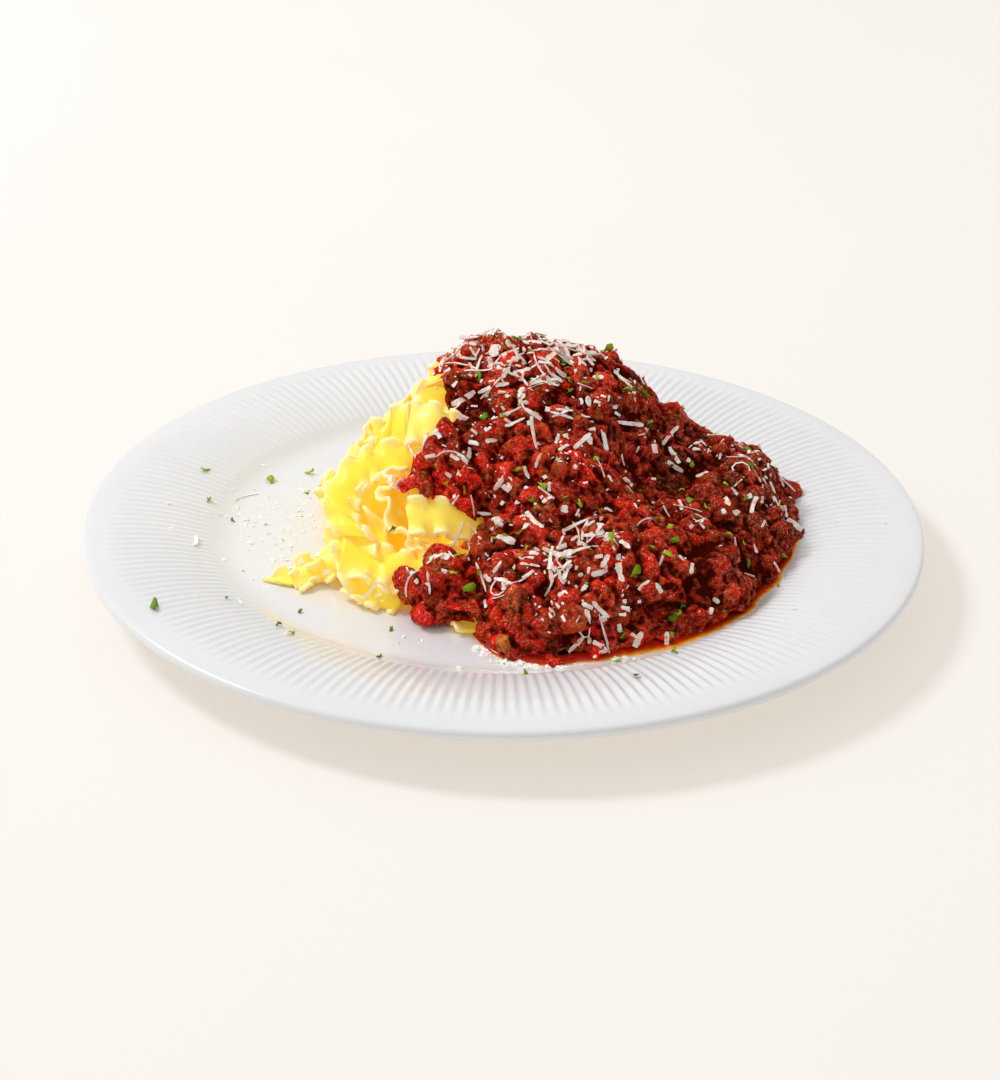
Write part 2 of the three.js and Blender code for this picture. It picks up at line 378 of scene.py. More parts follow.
def mix(fac, a, b):
    """A blend of two colours, from a where fac is 0 to b where it is 1."""
    a, b = ((*color, 1) if isinstance(color, tuple) else color for color in (a, b))
    return add_node(fac.id_data, "ShaderNodeMix", {0: fac, 6: a, 7: b}, data_type="RGBA").outputs[2]


def maths(operation, a, b):
    """The outcome of a sum, kept between 0 and 1."""
    node = add_node(a.id_data, "ShaderNodeMath", {0: a, 1: b}, operation=operation, use_clamp=True)
    return node.outputs[0]


def channels(tree, layer):
    """The three numbers of a painted attribute, as sockets."""
    color = add_node(tree, "ShaderNodeVertexColor", layer_name=layer).outputs["Color"]
    return list(add_node(tree, "ShaderNodeSeparateColor", {"Color": color}).outputs)[:3]


def feed(shader, socket, source):
    """Links a node's output to one of a shader's sockets."""
    shader.id_data.links.new(source, shader.inputs[socket])


def bumped(shader, *layers, socket="Normal"):
    """Bump on the shader from layers of (height socket, depth in millimetres)."""
    normal = None
    for height, depth in layers:
        values = {"Height": height, "Distance": depth * MM, "Strength": 1.0}
        if normal is not None:
            values["Normal"] = normal
        normal = add_node(shader.id_data, "ShaderNodeBump", values).outputs["Normal"]
    feed(shader, socket, normal)


def porcelain():
    """White glaze, a little cool, and not quite even in its gloss."""
    material, tree, shader = new_material(
        "porcelain", Coat_Weight=0.5, Coat_Roughness=0.04, Subsurface_Weight=0.08, Subsurface_Scale=0.002
    )
    tone = ramp(noise_at(tree, 45), (0.3, (0.80, 0.81, 0.825)), (0.7, (0.835, 0.84, 0.85)))
    feed(shader, "Base Color", tone)
    feed(shader, "Roughness", ramp(noise_at(tree, 12), (0.2, 0.16), (0.8, 0.24)))
    return material


def grains_at(tree, pitch):
    """Packed grains: 0 at the middle of each, rising to 1 in the seams between them."""
    place = add_node(tree, "ShaderNodeTexCoord").outputs["Object"]
    cell = pitch * MM
    warp = add_node(tree, "ShaderNodeTexNoise", {"Vector": place, "Scale": 0.5 / cell}).outputs["Color"]
    parts = {0: 0.15 * cell, 6: place, 7: warp}
    shifted = add_node(tree, "ShaderNodeMix", parts, data_type="RGBA", blend_type="ADD").outputs[2]
    cells = add_node(tree, "ShaderNodeTexVoronoi", {"Vector": shifted, "Scale": 1 / cell})
    return cells.outputs["Distance"]


def sauce_material():
    """Crimson tomato pulp and orange-brown gravy round grainy brown mince, with painted shade near black
    in the hollows, with bright bits of carrot and tomato, pale grains of fat that also serve as painted
    highlight specks, and beads of wet that catch the light."""
    material, tree, shader = new_material(
        "meat_sauce", Coat_Roughness=0.08, Coat_IOR=1.7, Specular_IOR_Level=0.0, Roughness=0.6
    )
    # Each vertex's tone, meat share, and depth in hollows, which sets its painted shade.
    tone, meat, hollow = channels(tree, "mince")
    bit, _, _ = channels(tree, "bits")
    grain = noise_at(tree, 0.9, detail=4, roughness=0.65)
    color = mix(meat, tomato_color(tree, grain), mince_color(tone, grain))
    color = mix(bit, color, vegetable_color(tone))
    # Painted highlight specks of fat, then painted shade between grains, in wide patches and in the
    # hollows.
    layers = (
        (ramp(noise_at(tree, 0.55, detail=1), (0.62, 0.0), (0.70, 0.65)), FAT_AND_HIGHLIGHT),
        (ramp(grains_at(tree, 1.3), (0.35, 0.0), (0.9, 0.35)), SEAM_SHADE),
        (ramp(noise_at(tree, 13, detail=3), (0.38, 0.45), (0.56, 0.0)), SHADE_PATCHES),
        (ramp(hollow, (0.08, 0.0), (0.66, 0.95)), HOLLOW_SHADE),
    )
    for share, tint in layers:
        color = mix(share, color, tint)
    feed(shader, "Base Color", color)
    beads = ramp(noise_at(tree, 1.1, detail=1), (0.55, 0.0), (0.62, 1.0))
    wet = maths("MULTIPLY", beads, ramp(hollow, (0.2, 1.0), (0.6, 0.0)))
    feed(shader, "Coat Weight", wet)
    fine = noise_at(tree, 0.8)
    bumped(shader, (noise_at(tree, 1.6, detail=3), 0.45), (fine, 0.28))
    bumped(shader, (noise_at(tree, 1.2), 0.5), (fine, 0.35), socket="Coat Normal")
    return material


def tomato_color(tree, grain):
    """Patches of bright pulp in a browner gravy, both from dark to light over the grain."""
    stops = (0.3, 0.5, 0.7)
    pulp = ramp(grain, *zip(stops, ((0.75, 0.003, 0.002), (1.0, 0.012, 0.006), (1.0, 0.065, 0.022))))
    gravy = ramp(grain, *zip(stops, ((0.14, 0.010, 0.002), (0.45, 0.05, 0.008), (0.95, 0.28, 0.08))))
    return mix(ramp(noise_at(tree, 7, detail=3), (0.50, 1.0), (0.64, 0.0)), gravy, pulp)


def mince_color(tone, grain):
    """Brown meat, from dark to light by the crumb's tone, with light specks."""
    dark, middle, light = (0.10, 0.005, 0.001), (0.40, 0.026, 0.005), (0.75, 0.13, 0.028)
    meat = ramp(tone, (0.0, dark), (0.5, middle), (1.0, light))
    return mix(ramp(grain, (0.45, 0.0), (0.7, 0.7)), meat, (0.90, 0.20, 0.05))


def vegetable_color(tone):
    """Tomato skin, tomato flesh, carrot or onion, by the bit's tone."""
    skin, flesh = (0.80, 0.004, 0.003), (1.0, 0.02, 0.008)
    carrot, onion = (0.75, 0.14, 0.02), (0.80, 0.30, 0.05)
    return ramp(tone, (0.0, skin), (0.45, flesh), (0.65, carrot), (1.0, onion))


def pool_material():
    """Oil and tomato juice: golden where it is thin, through orange to dark red where it is deep."""
    material, tree, shader = new_material(
        "oil", Coat_Weight=0.25, Coat_Roughness=0.08, Roughness=0.35, Specular_IOR_Level=0.1
    )
    depth, _, _ = channels(tree, "depth")
    uneven = maths("ADD", depth, ramp(noise_at(tree, 3), (0.3, 0.0), (0.8, 0.25)))
    golden, orange = (0.95, 0.62, 0.20), (0.80, 0.30, 0.015)
    red, dark_red = (0.62, 0.045, 0.004), (0.36, 0.010, 0.003)
    feed(shader, "Base Color", ramp(uneven, (0.0, golden), (0.2, orange), (0.45, red), (1.0, dark_red)))
    return material


def pasta_material():
    """Egg pasta: pale along its thin ruffled edges and deep yellow in its folds. The light that goes
    through it is given as a glow."""
    material, tree, shader = new_material(
        "pasta", Subsurface_Weight=0.35, Subsurface_Scale=0.003, Subsurface_Radius=(1.0, 0.62, 0.14),
        Coat_Weight=0.12, Coat_Roughness=0.12, Specular_IOR_Level=0.12,
        Emission_Color=(1.0, 0.50, 0.03, 1), Emission_Strength=0.2,
    )
    edge, tone, _ = channels(tree, "dough")
    body = ramp(noise_at(tree, 9), (0.3, (1.0, 0.73, 0.012)), (0.7, (1.0, 0.82, 0.035)))
    color = mix(edge, mix(tone, body, (1.0, 0.90, 0.24)), (1.0, 0.94, 0.50))
    feed(shader, "Base Color", color)
    feed(shader, "Roughness", ramp(noise_at(tree, 6), (0.3, 0.26), (0.7, 0.42)))
    bumped(shader, (noise_at(tree, 2.2, detail=3), 0.10))
    return material


def cheese_material(name, glow):
    """Grated hard cheese, reddened where sauce has soaked in. The light that goes through it is given
    as a glow."""
    material, tree, shader = new_material(
        name, Subsurface_Weight=0.4, Subsurface_Scale=0.001, Roughness=0.5, Specular_IOR_Level=0.3,
        Emission_Color=(1.0, 0.96, 0.86, 1), Emission_Strength=glow,
    )
    tone, stain, _ = channels(tree, "tone")
    color = mix(tone, (0.92, 0.88, 0.77), (0.98, 0.97, 0.95))
    soaked = ramp(noise_at(tree, 2.5), (0.35, 0.0), (0.7, 0.85))
    reddened = mix(soaked, color, (0.80, 0.42, 0.32))
    feed(shader, "Base Color", mix(stain, color, reddened))
    bumped(shader, (noise_at(tree, 0.8), 0.12))
    return material


def parsley_material():
    """Fresh green, from dark to light by the flake's tone, with darker veins."""
    material, tree, shader = new_material(
        "parsley", Subsurface_Weight=0.1, Subsurface_Scale=0.0005, Roughness=0.5, Specular_IOR_Level=0.15
    )
    tone, _, _ = channels(tree, "tone")
    green = mix(tone, (0.09, 0.24, 0.004), (0.52, 0.64, 0.02))
    veins = ramp(noise_at(tree, 0.9), (0.4, 0.0), (0.7, 0.4))
    feed(shader, "Base Color", mix(veins, green, (0.05, 0.15, 0.005)))
    bumped(shader, (noise_at(tree, 0.6), 0.1))
    return material


def floor_material():
    """A studio sweep that is lit from within, so that shadows on it stay pale and warm."""
    material, tree, shader = new_material(
        "backdrop", Roughness=0.9, Specular_IOR_Level=0.1,
        Emission_Color=(0.45, 0.40, 0.33, 1), Emission_Strength=1.0,
    )
    tone = ramp(noise_at(tree, 300), (0.3, (0.493, 0.498, 0.523)), (0.7, (0.503, 0.508, 0.533)))
    feed(shader, "Base Color", tone)
    return material


# ---- Stage ----


def camera_axes():
    """Forward, right and up of the camera, rolled about its own line of sight."""
    elevation, roll = math.radians(CAMERA_ELEVATION), math.radians(CAMERA_ROLL)
    forward = Vector((0, math.cos(elevation), -math.sin(elevation)))
    level = Vector((1, 0, 0))
    upward = level.cross(forward)
    right = level * math.cos(roll) + upward * math.sin(roll)
    return forward, right, right.cross(forward)


def add_camera():
    """The photographer's eye."""
    forward, right, up = camera_axes()
    data = bpy.data.cameras.new("camera")
    data.lens = CAMERA_LENS
    data.sensor_width = SENSOR
    data.clip_start = 0.01
    camera = new_object("camera", data)
    place = (Vector(CAMERA_TARGET) - forward * CAMERA_DISTANCE) * MM
    camera.matrix_world = Matrix.Translation(place) @ Matrix((right, up, -forward)).transposed().to_4x4()
    bpy.context.scene.camera = camera


def add_lamp():
    """A round lamp that shines on the food."""
    data = bpy.data.lights.new("lamp", "AREA")
    data.shape = "DISK"
    data.size = LAMP_SIZE * MM
    data.energy = LAMP_WATTS
    lamp = new_object("lamp", data)
    lamp.location = LAMP_PLACE * MM
    lamp.rotation_euler = (LAMP_TARGET - LAMP_PLACE).to_track_quat("-Z", "Y").to_euler()


def add_sky():
    """A white sky that is stronger on one side than on the other."""
    world = bpy.data.worlds.new("sky")
    world.use_nodes = True
    tree = world.node_tree
    way = add_node(tree, "ShaderNodeTexCoord").outputs["Generated"]
    pair = {0: way, 1: SKY_TOWARDS.normalized()}
    toward = add_node(tree, "ShaderNodeVectorMath", pair, operation="DOT_PRODUCT").outputs["Value"]
    low, high = SKY_STRENGTHS
    levels = {"Value": toward, "From Min": -1.0, "To Min": low, "To Max": high}
    strength = add_node(tree, "ShaderNodeMapRange", levels).outputs["Result"]
    background = tree.nodes["Background"]
    background.inputs["Color"].default_value = SKY_COLOR
    feed(background, "Strength", strength)
    bpy.context.scene.world = world


def add_stage():
    """The floor, the lamp and the sky."""
    floor = mesh_object("floor", FLOOR_CORNERS, [(0, 1, 2, 3)])
    floor.data.materials.append(floor_material())
    add_lamp()
    add_sky()
    bpy.context.scene.view_settings.view_transform = "Standard"


# ---- Plate ----


def plate_top(radius):
    """Height of the plate's upper face, without flutes."""
    radius = np.asarray(radius, float)
    well = np.clip((radius - FLOOR_RADIUS) / (WELL_RADIUS - FLOOR_RADIUS), 0, 1)
    out = np.maximum(radius - WELL_RADIUS, 0)
    in_well = FLOOR_HEIGHT + (WELL_EDGE_HEIGHT - FLOOR_HEIGHT) * well**2
    return in_well + RIM_SLOPE * out - RIM_CURVE * out**2


def bed_height(points):
    """Height of the plate's upper face, without flutes, at each point."""
    return plate_top(np.hypot(points[..., 0], points[..., 1]))


def plate_profile():
    """The section from the middle of the top, round the lip, to the middle of the underside, as points
    of radius, height and flute depth."""
    well, rim = np.linspace(94, 106, 9), np.linspace(107.5, 147, 24)
    upper = np.concatenate([[PLATE_HOLE, 50, 90], well, rim])
    fade = smooth_step(FLUTE_START, FLUTE_START + FLUTE_FADE, upper)
    fade = fade * (1 - smooth_step(FLUTE_END - FLUTE_FADE, FLUTE_END + FLUTE_FADE, upper))
    section = [(r, float(plate_top(r)), FLUTE_DEPTH * f) for r, f in zip(upper, fade)]
    lip_centre = PLATE_RADIUS - LIP_RADIUS
    for angle in np.radians(np.linspace(90, -90, 11)):
        out, up = LIP_RADIUS * math.cos(angle), LIP_RADIUS * math.sin(angle)
        section.append((lip_centre + out, LIP_HEIGHT + up, 0))
    for radius in UNDERSIDE_RADII:
        section.append((radius, float(plate_top(radius)) - RIM_THICKNESS, 0))
    inner = FOOT_RADIUS - FOOT_WIDTH
    inset, height = FOOT_FILLET
    outside = [(FOOT_RADIUS, FOOT_EDGE), (FOOT_RADIUS - FOOT_EDGE, 0)]
    inside = [(inner + FOOT_EDGE, 0), (inner, FOOT_EDGE), (inner - inset, height)]
    base = [(inner - 4, BASE_UNDERSIDE), (PLATE_HOLE, BASE_UNDERSIDE)]
    return section + [(*point, 0) for point in (*UNDERSIDE_BEND, *outside, *inside, *base)]


def make_plate():
    """The plate, turned from its section, with flutes pressed into the rim."""
    around = FLUTES * FLUTE_POINTS
    angles = TURN * np.arange(around) / around
    groove = (1 - np.cos(FLUTES * angles)) / 2
    rings = [ring(radius, angles, height - flute * groove) for radius, height, flute in plate_profile()]
    plate = mesh_object("porcelain_plate", np.concatenate(rings), tube_faces(len(rings), around))
    dress(plate, "plate", porcelain())


# ---- Sauce ----

SAUCE_VOXEL = 0.78
SAUCE_TRIANGLES = 190_000
SAUCE_SINK = 1.1  # how far the bare sauce lies under the solid's skin, for the mince to stand out of
BASE_VOXEL = 2.0  # of the bare sauce
CRUMBS = 780
CRUMB_RADII = (1.6, 7.0)
CRUMB_ROOM = 0.5  # the least gap between two middles, as a share of both radii
CRUMB_DEPTHS = (0.55, 1.05)  # how deep the middles lie, in radii
CRUMB_ROUGHNESS = 0.13
CRUMB_CUTS = 7  # flat cuts on each
# Places at the sauce's foot that are left free of sauce, and how far round each.
NOTCHES = [((-13, -73, 11), 8), ((-39, -60, 17), 6)]
NOTCH_DEPTH = 8
# The kinds of crumb, by radius: the largest that may be tomato, and the largest that may be vegetable.
LARGEST_PULP = 4.5
LARGEST_VEGETABLE = 3.2
# How far the sauce's foot is drawn back beside the pool, the arcs in which that fades at both ends, in
# degrees round the pool's centre, and the heights over which it fades upwards.
FOOT_RETREAT = 5
RETREAT_ENDS = ((-112, -85), (20, 0))
RETREAT_HEIGHTS = (24, 11)
# Lumps that lie on the ribbons beside the sauce: each one's middle and radius.
STRAY_LUMPS = [
    ((-18, -38, 43), 3.4), ((-14, -38, 40), 4.2), ((-11, -37, 35), 4.4), ((-9, -39, 30), 3.6),
    ((-11, -41, 26), 3.0), ((-34, -38, 46), 2.6), ((-30, -38, 48), 3.4), ((-26, -40, 46), 3.2),
    ((-23, -52, 24), 3.4), ((-28, -60, 18), 3.0), ((-14, -34, 48), 3.2), ((-11, -34, 45), 3.6),
    ((-8, -34, 42), 3.8), ((-6, -34, 38), 3.6), ((-5, -36, 34), 3.2),
]


def icosphere(levels):
    """Points and faces of a unit sphere of triangles."""
    shape = bmesh.new()
    bmesh.ops.create_icosphere(shape, subdivisions=levels, radius=1)
    points = np.array([v.co for v in shape.verts])
    faces = [tuple(v.index for v in f.verts) for f in shape.faces]
    shape.free()
    return points, faces


def random_turn(rng):
    """A random rotation."""
    w, x, y, z = unit(rng.normal(size=4))
    return np.array([
        [1 - 2 * (y * y + z * z), 2 * (x * y - z * w), 2 * (x * z + y * w)],
        [2 * (x * y + z * w), 1 - 2 * (x * x + z * z), 2 * (y * z - x * w)],
        [2 * (x * z - y * w), 2 * (y * z + x * w), 1 - 2 * (x * x + y * y)],
    ])


def spaced_crumbs(rng, surface):
    """Places, normals and radii of crumbs: random, but not on top of each other."""
    places, normals = surface.scatter(rng, CRUMBS * 5, lambda centres, facing: facing[:, 2] > -0.6)
    low, high = CRUMB_RADII
    radii = low + (high - low) * rng.random(len(places)) ** 1.5
    kept = []
    for n in np.argsort(-radii):
        gaps = np.linalg.norm(places[kept] - places[n], axis=1)
        if (gaps > CRUMB_ROOM * (radii[kept] + radii[n])).all():
            kept.append(n)
        if len(kept) == CRUMBS:
            break
    kept = np.array(kept)
    return places[kept], normals[kept], radii[kept]


def crumb_shape(rng, sphere, radius):
    """Points of a lump with a few flat cuts and an uneven skin, about its own middle."""
    shape = sphere * rng.uniform(0.8, 1.25, 3)
    for _ in range(CRUMB_CUTS):
        way = unit(rng.normal(size=3))
        over = np.maximum(shape @ way - rng.uniform(0.5, 0.8), 0)
        shape = shape - np.outer(over * 0.9, way)
    seat = sphere * radius + rng.uniform(0, 500, 3)
    lumps = 1 + CRUMB_ROUGHNESS * (soft_noise(seat, 2.4, 21) + 0.45 * soft_noise(seat, 1.2, 22))
    return radius * (shape * lumps[:, None]) @ random_turn(rng).T


def browner_shaded_side(points):
    """0 where the sauce is red with tomato, 1 towards the right, where it is brown with meat juice and
    darker with painted shade.
    """
    return smooth_step(5, 75, points[:, 0] + 0.3 * points[:, 1] + 14 * soft_noise(points, 30, 41))


def sauce_swell(points):
    """How far the sauce swells out of its general form, or sinks into crevices."""
    return 2.2 * soft_noise(points, 22, 11) + 2.2 * soft_noise(points, 11, 12) - 0.6


def drawn_back(points):
    """The points moved inwards where they lie at the sauce's foot and a pool of oil runs out in front."""
    away = points[:, :2] - POOL_CENTRE
    angle = np.degrees(np.arctan2(away[:, 1], away[:, 0]))
    beside_pool = np.minimum(*[smooth_step(*end, angle) for end in RETREAT_ENDS])
    back = FOOT_RETREAT * beside_pool * smooth_step(*RETREAT_HEIGHTS, points[:, 2])
    return points - np.column_stack([unit(away) * back[:, None], np.zeros(len(points))])


def bare_sauce(solid):
    """Points and faces of the sauce between the crumbs."""
    base = solid.remade("bolognese_base", BASE_VOXEL)
    points, normals = points_of(base.data), normals_of(base.data)
    out = sauce_swell(points) + 1.1 * soft_noise(points, 7, 13) - SAUCE_SINK
    for place, radius in NOTCHES:
        gaps = np.linalg.norm(points - place, axis=1)
        out -= NOTCH_DEPTH * smooth_step(radius + 4, radius - 2, gaps)
    faces = [tuple(p.vertices) for p in base.data.polygons]
    bpy.data.objects.remove(base)
    return drawn_back(points + normals * out[:, None]), faces


def crumb_places(rng, solid):
    """Middles and radii of the crumbs in the sauce and of the lumps beside it."""
    places, facings, radii = spaced_crumbs(rng, solid)
    out = sauce_swell(places) - radii * rng.uniform(*CRUMB_DEPTHS, len(radii)) + 0.8
    gaps = [np.linalg.norm(places - place, axis=1) - radius for place, radius in NOTCHES]
    clear = np.min(gaps, axis=0) > 0.6 * radii
    centres = drawn_back(places + facings * out[:, None])
    stray_centres, stray_radii = zip(*STRAY_LUMPS)
    return np.concatenate([centres[clear], stray_centres]), np.concatenate([radii[clear], stray_radii])


def make_sauce(rng):
    """Mince and tomato bound together in one skin."""
    solid = packed("bolognese")
    centres, radii = crumb_places(rng, solid)
    sphere, faces = icosphere(3)
    lumps = MeshParts()
    lumps.add(*bare_sauce(solid))
    for centre, radius in zip(centres, radii):
        lumps.add(centre + crumb_shape(rng, sphere, radius), faces)
    sauce = lumps.piece("bolognese_sauce")
    remeshed(sauce, SAUCE_VOXEL)
    roughen_sauce(sauce.data)
    thinned(sauce, SAUCE_TRIANGLES)
    paint_sauce(sauce.data, rng, centres, radii)
    dress(sauce, "bolognese", sauce_material())
    return sauce


def roughen_sauce(mesh):
    """Gives the skin its granular coat and rests it on the plate."""
    points, normals = points_of(mesh), normals_of(mesh)
    grains = 0.25 * grain_noise(points, 2.2, 31) + 0.3 * soft_noise(points, 1.2, 32) - 0.1
    points = points + normals * grains[:, None]
    points[:, 2] = np.maximum(points[:, 2], bed_height(points) + 0.12)
    move_points(mesh, points)


def neighbour_mean(mesh, values, rounds):
    """The values, each blended with its neighbours' as many times as rounds says."""
    a, b = rows(mesh.edges, "vertices", 2, np.int32).T
    count = len(values)
    degree = np.bincount(a, minlength=count) + np.bincount(b, minlength=count)
    result = np.array(values, float)
    for _ in range(rounds):
        sums = [np.bincount(a, c[b], count) + np.bincount(b, c[a], count) for c in result.T]
        result = (result + np.stack(sums, 1)) / (degree + 1)[:, None]
    return result


def crumb_kinds(rng, centres, radii):
    """Each crumb's tone, how much it is meat, and whether it is a bit of vegetable."""
    brown = browner_shaded_side(centres)
    pulp = (rng.random(len(radii)) < 0.65 - 0.45 * brown) & (radii < LARGEST_PULP)
    meat = np.where(pulp, 0.0, rng.uniform(0.1, 0.7, len(radii)) + 0.3 * brown)
    # Tones darken towards the right: painted shade.
    tones = rng.random(len(radii)) * (1 - 0.5 * brown)
    vegetable = pulp & (radii < LARGEST_VEGETABLE) & (rng.random(len(radii)) < 0.4)
    return tones, meat, vegetable


def nearest_crumbs(points, centres, radii):
    """The crumb that each point belongs to, and how far from its middle the point lies, in its radii."""
    tree = KDTree(len(centres))
    for n, centre in enumerate(centres):
        tree.insert(centre, n)
    tree.balance()
    found = [min((gap / radii[n], n) for _, n, gap in tree.find_n(point, 4)) for point in points]
    gaps, crumbs = zip(*found)
    return np.array(crumbs), np.array(gaps)


def painted_shade_depth(mesh, points, normals):
    """How much painted shade each point gets: by how deep it lies in hollows, wide ones between the
    crumbs, fine ones between the grains, and crevices of the whole heap, and a little more towards the
    right."""
    wide = ((neighbour_mean(mesh, points, 8) - points) * normals).sum(1)
    fine = ((neighbour_mean(mesh, points, 1) - points) * normals).sum(1)
    hollow = 0.75 * smooth_step(-0.8, 1.4, wide) + 0.3 * smooth_step(-0.1, 0.2, fine)
    # painted shade in the heap's crevices, and a little towards the right
    hollow += 0.3 * smooth_step(-1.2, -3.4, sauce_swell(points)) + 0.08 * browner_shaded_side(points)
    return np.clip(hollow, 0, 1)


def paint_sauce(mesh, rng, centres, radii):
    """Stores for each vertex the crumb's tone, how much it is meat, how much painted shade it gets in
    hollows, and how much it is a bit of vegetable."""
    tones, meats, vegetable = crumb_kinds(rng, centres, radii)
    points, normals = points_of(mesh), normals_of(mesh)
    crumbs, gaps = nearest_crumbs(points, centres, radii)
    brown = browner_shaded_side(points)
    meat = meats[crumbs] * (1 - smooth_step(1.0, 1.35, gaps))
    meat = np.maximum(meat * (0.75 + 0.25 * brown), 0.55 * brown)
    paint(mesh, "mince", np.stack([tones[crumbs], meat, painted_shade_depth(mesh, points, normals)], 1))
    paint(mesh, "bits", vegetable[crumbs] * (1 - smooth_step(0.95, 1.15, gaps)))


# ---- Pasta ----

RIBBON_WIDTH = 15.5
RIBBON_THICKNESS = 1.4
RUFFLE_PITCH = 9.6
RUFFLE_DEPTH = 2.5
RUFFLE_ROUNDNESS = 0.10
RIBBON_STEP = 0.8
RIBBON_COLUMNS = 10
CORE_SHARE = 0.74  # how large the core is beside the solid
CORE_VOXEL = 2.2

# Ribbons that wander over the back of the heap.
STRANDS = 22
STRAND_TRIES = 900
STRAND_GAP = 11  # between the starts of two strands
STRAND_LENGTH = (45, 110)
WALK_STEP = 3.0
LEAST_STEPS = 7  # a walk of no more than this makes no ribbon
BACK_START = 8  # strands lie further back than this
# They also lie on the left flank: between these two x, further back than this y, and under this height.
FLANK_X = (-58, -38)
FLANK_FRONT = -26
FLANK_TOP = 36

# The ribbons that the diner sees. Each runs along one of its ruffled edges, and its body reaches from
# there in directions that turn from the first given to the last. Its middle bows out by bow
# millimetres, or in where that is negative. A narrower width is that of a ribbon folded lengthways.
FRONT_RIBBONS = {
    "cup": dict(
        edge=[(-26, -12, 43), (-35, -9, 48), (-44, -10, 47), (-51, -13, 46), (-57, -18, 43),
              (-61, -24, 39), (-62, -30, 34), (-60, -36, 31), (-57, -41, 28)],
        body=[(-0.1, -0.85, -0.55), (0.1, -0.9, -0.45), (0.75, -0.65, -0.3), (0.95, -0.3, 0)], bow=-2,
    ),
    "bowl": dict(
        edge=[(-28, -22, 41), (-38, -20, 43), (-47, -24, 41), (-53, -30, 37), (-52, -36, 31),
              (-46, -43, 27)],
        body=[(0.1, -0.5, -0.85), (0.2, -0.6, -0.8), (0.9, -0.3, -0.4)], bow=-1,
    ),
    "brim": dict(
        edge=[(-61, -38, 30), (-58, -44, 25), (-57, -49, 21), (-54, -54, 17), (-50, -58, 13),
              (-44, -61, 11)],
        body=[(0.9, -0.3, 0.1), (0.9, 0.1, 0.2)], bow=1,
    ),
    "inner": dict(
        edge=[(-35, -22, 46), (-39, -25, 45), (-41, -29, 42), (-40, -37, 35), (-36, -43, 31),
              (-31, -47, 28), (-25, -52, 25)],
        body=[(0.5, 0.6, -0.6), (0.6, 0.6, -0.5), (0.7, 0.7, -0.1)], bow=0.8,
    ),
    "tuck": dict(
        edge=[(-52, -31, 31), (-48, -31, 34), (-44, -34, 32), (-40, -38, 29)],
        body=[(0, -0.6, -0.8), (0.1, -0.6, -0.8)], bow=0.5,
    ),
    "apron": dict(
        edge=[(-54, -40, 28), (-47, -42, 26), (-40, -44, 25), (-33, -47, 25), (-26, -50, 24),
              (-19, -54, 22)],
        body=[(-0.1, -0.8, -0.5), (-0.3, -0.9, -0.4), (-0.3, -0.7, -0.7)], bow=1.8,
    ),
    "shelf": dict(
        edge=[(-30, -45, 29), (-25, -46, 28), (-20, -47, 28), (-14, -47, 27), (-8, -46, 25)],
        body=[(0.2, -0.6, -0.8), (0.2, -0.6, -0.8)], bow=0.5,
    ),
    "flap": dict(
        edge=[(-34, -39, 41), (-29, -40, 42), (-22, -40, 42), (-16, -38, 39), (-10, -34, 35),
              (-3, -28, 28)],
        body=[(0.3, -0.7, -0.7), (0.1, -0.7, -0.7)], bow=1.2, width=13, tone=0.45,
    ),
    "hem": dict(
        edge=[(-52, -49, 20), (-46, -54, 20), (-40, -58, 18), (-34, -60, 15)],
        body=[(-0.1, -0.4, -0.9), (-0.3, -0.3, -0.9)], bow=0.5, width=8,
    ),
    "pale": dict(
        edge=[(-37, 2, 54), (-32, 0, 59), (-26, -3, 61), (-20, -5, 59), (-14, -7, 55)],
        body=[(0.1, -0.8, -0.5), (0, -0.7, -0.7)], bow=1.5, tone=0.7,
    ),
    "folds": dict(
        edge=[(-49, 0, 48), (-46, 2, 51), (-42, -1, 54), (-39, 2, 57), (-34, -2, 61)],
        body=[(-0.1, -0.8, -0.6), (0, -0.6, -0.8)], bow=0.5,
    ),
    "crest": dict(
        edge=[(-35, 6, 54), (-32, 12, 58), (-29, 19, 61), (-26, 26, 63), (-23, 32, 64)],
        body=[(1, -0.2, -0.1), (1, 0, 0)], bow=1,
    ),
    "stray": dict(
        edge=[(-82, -42, 11), (-75, -37, 13), (-68, -33, 15), (-61, -31, 18), (-55, -30, 21)],
        body=[(0.9, -0.4, -0.1), (0.5, -0.8, -0.3), (0.3, -0.9, -0.4)], bow=0.8, width=12, tone=0.5,
    ),
    "twist": dict(
        edge=[(-73, -43, 13), (-69, -40, 16), (-65, -41, 17), (-61, -38, 19), (-57, -39, 20)],
        body=[(0.5, -0.7, -0.4), (0.7, -0.3, -0.6), (0.3, -0.8, -0.5)], bow=0.5, width=8, tone=0.6,
    ),
    "peek": dict(
        edge=[(-20, -62, 16), (-18, -69, 13), (-15, -76, 11)],
        body=[(1, 0.2, 0), (1, -0.1, 0.1)], bow=0.5,
    ),
}

# Ribbons that hang one over the other down the left flank, described as those above.
SIDE_RIBBONS = {
    "upper": dict(
        edge=[(-44, 8, 49), (-46, 1, 50), (-49, -7, 48), (-51, -15, 46), (-54, -23, 40)],
        body=[(-0.6, 0.2, -0.8), (-0.4, 0, -0.9), (-0.4, -0.2, -0.9)], bow=1,
    ),
    "middle": dict(
        edge=[(-50, 10, 37), (-53, 3, 39), (-55, -5, 37), (-56, -14, 37), (-57, -22, 34), (-56, -30, 29)],
        body=[(-0.3, 0.1, -0.9), (-0.3, 0.2, -0.9), (0, -0.1, -1)], bow=1.5,
    ),
    "lower": dict(
        edge=[(-57, 0, 26), (-59, -7, 28), (-60, -15, 26), (-60, -23, 25), (-57, -31, 22),
              (-52, -38, 19)],
        body=[(-0.2, 0.1, -1), (-0.1, 0, -1), (0.1, -0.1, -1)], bow=1.2, width=13,
    ),
}


